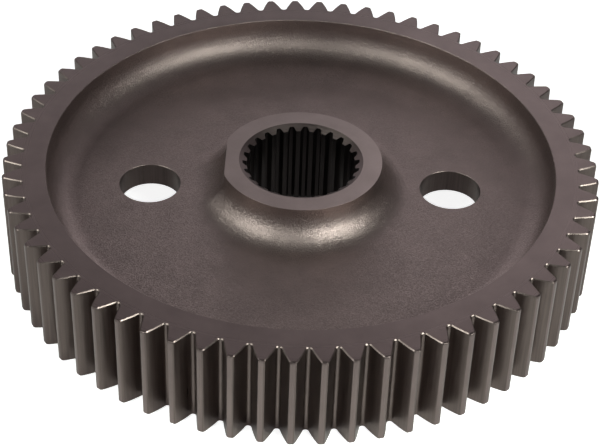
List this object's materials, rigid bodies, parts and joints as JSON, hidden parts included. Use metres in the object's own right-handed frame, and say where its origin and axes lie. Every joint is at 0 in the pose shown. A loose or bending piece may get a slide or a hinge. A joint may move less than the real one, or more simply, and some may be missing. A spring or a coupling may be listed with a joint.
{
  "type": "spur gear",
  "caption": "Spur gear with a thin web, an internally splined hub with a flat on its side, and two round holes through the web.",
  "frame": {"origin": "on the gear's axis, in the plane of the rim's lower face, which it rests on", "axes": "+Z along the gear's axis, from the lower rim face to the upper one; the row of web holes lies near X, and one tooth is centred on -Y"},
  "size_m": [0.2414, 0.2414, 0.042],
  "materials": {
    "forged_steel": "dark brown-grey phosphate finish on forged steel: fine satin on the turned faces and cut teeth, shot-blasted and slightly sparkling on the web and the fillets"
  },
  "bodies": {
    "root": {"gear": "forged_steel"}
  },
  "joints": []
}
